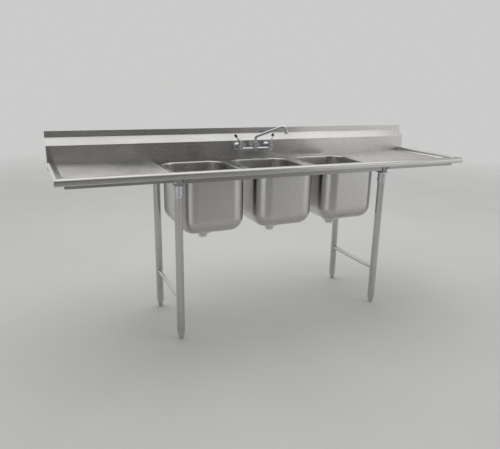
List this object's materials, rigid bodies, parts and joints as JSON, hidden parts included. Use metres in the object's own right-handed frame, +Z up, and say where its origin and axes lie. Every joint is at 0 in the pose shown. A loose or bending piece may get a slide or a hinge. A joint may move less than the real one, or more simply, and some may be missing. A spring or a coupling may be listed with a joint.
{
  "type": "three compartment sink",
  "caption": "Commercial stainless steel sink with deep drawn bowls side by side, a drainboard at each end, a backsplash, a wall faucet and tubular legs on adjustable feet.",
  "frame": {"origin": "on the floor, under the middle of the sink's outer box", "axes": "+X along the sink to the user's right, +Y from the user to the wall, +Z up"},
  "size_m": [2.412, 0.62, 1.0976],
  "materials": {
    "sheet_steel": "fine lengthwise brushed stainless sheet",
    "bowl_steel": "satin deep drawn stainless",
    "channel_steel": "mill finish stainless",
    "tube_steel": "satin stainless tube",
    "zinc_plate": "bright zinc plate, slightly blue",
    "foot_steel": "turned stainless",
    "drain_steel": "polished stainless",
    "basket_steel": "perforated satin stainless",
    "chrome": "polished chrome plate",
    "brass": "machined brass",
    "screw_steel": "dark steel",
    "cap_plastic": "dark moulded plastic",
    "gasket_rubber": "black rubber",
    "seal_rubber": "black rubber"
  },
  "bodies": {
    "root": {"front_rolled_rim": "sheet_steel", "left_rolled_rim": "sheet_steel", "right_rolled_rim": "sheet_steel", "sink_deck": "sheet_steel", "left_drainboard": "sheet_steel", "right_drainboard": "sheet_steel", "backsplash": "sheet_steel", "left_splash_cap": "sheet_steel", "right_splash_cap": "sheet_steel", "front_apron": "sheet_steel", "left_bowl": "bowl_steel", "left_drain": "drain_steel", "middle_bowl": "bowl_steel", "middle_drain": "drain_steel", "right_bowl": "bowl_steel", "right_drain": "drain_steel", "left_cross_channel": "channel_steel", "left_drainboard_channels": "channel_steel", "left_cross_rail": "tube_steel", "left_valve_bonnet": "chrome", "right_cross_channel": "channel_steel", "right_drainboard_channels": "channel_steel", "right_cross_rail": "tube_steel", "right_valve_bonnet": "chrome", "front_left_leg": "tube_steel", "front_left_leg_socket": "zinc_plate", "front_right_leg": "tube_steel", "front_right_leg_socket": "zinc_plate", "back_left_leg": "tube_steel", "back_left_leg_socket": "zinc_plate", "back_right_leg": "tube_steel", "back_right_leg_socket": "zinc_plate", "socket_set_screws": "screw_steel", "foot_inserts": "foot_steel", "drain_gaskets": "gasket_rubber", "drain_locknuts": "drain_steel", "faucet_body": "chrome", "faucet_flanges": "chrome", "supply_shanks": "brass", "shank_locknuts": "brass", "spout_nut": "chrome"},
    "left_handle": {"left_handle": "chrome", "left_handle_cap": "cap_plastic", "left_handle_screw": "screw_steel", "left_valve_stem": "brass"},
    "right_handle": {"right_handle": "chrome", "right_handle_cap": "cap_plastic", "right_handle_screw": "screw_steel", "right_valve_stem": "brass"},
    "spout": {"spout": "chrome", "spout_aerator": "chrome", "spout_seal": "seal_rubber"},
    "left_basket": {"left_strainer_basket": "basket_steel"},
    "middle_basket": {"middle_strainer_basket": "basket_steel"},
    "right_basket": {"right_strainer_basket": "basket_steel"},
    "front_left_foot": {"front_left_foot": "foot_steel"},
    "front_right_foot": {"front_right_foot": "foot_steel"},
    "back_left_foot": {"back_left_foot": "foot_steel"},
    "back_right_foot": {"back_right_foot": "foot_steel"}
  },
  "joints": [
    {"name": "left_handle_turn", "type": "hinge", "parent": "root", "child": "left_handle", "pos_m": [-0.1016, 0.207, 0.99], "axis": [0, 0, 1], "range_deg": [0, 90]},
    {"name": "right_handle_turn", "type": "hinge", "parent": "root", "child": "right_handle", "pos_m": [0.1016, 0.207, 0.99], "axis": [0, 0, -1], "range_deg": [0, 90]},
    {"name": "spout_swing", "type": "hinge", "parent": "root", "child": "spout", "pos_m": [0, 0.207, 0.96], "axis": [0, 0, 1], "range_deg": [-135, 45]},
    {"name": "left_basket_lift", "type": "slide", "parent": "root", "child": "left_basket", "axis": [0, 0, 1], "range_m": [0, 0.4]},
    {"name": "middle_basket_lift", "type": "slide", "parent": "root", "child": "middle_basket", "axis": [0, 0, 1], "range_m": [0, 0.4]},
    {"name": "right_basket_lift", "type": "slide", "parent": "root", "child": "right_basket", "axis": [0, 0, 1], "range_m": [0, 0.4]},
    {"name": "front_left_foot_screw", "type": "slide", "parent": "root", "child": "front_left_foot", "axis": [0, 0, -1], "range_m": [0, 0.025]},
    {"name": "front_right_foot_screw", "type": "slide", "parent": "root", "child": "front_right_foot", "axis": [0, 0, -1], "range_m": [0, 0.025]},
    {"name": "back_left_foot_screw", "type": "slide", "parent": "root", "child": "back_left_foot", "axis": [0, 0, -1], "range_m": [0, 0.025]},
    {"name": "back_right_foot_screw", "type": "slide", "parent": "root", "child": "back_right_foot", "axis": [0, 0, -1], "range_m": [0, 0.025]}
  ]
}
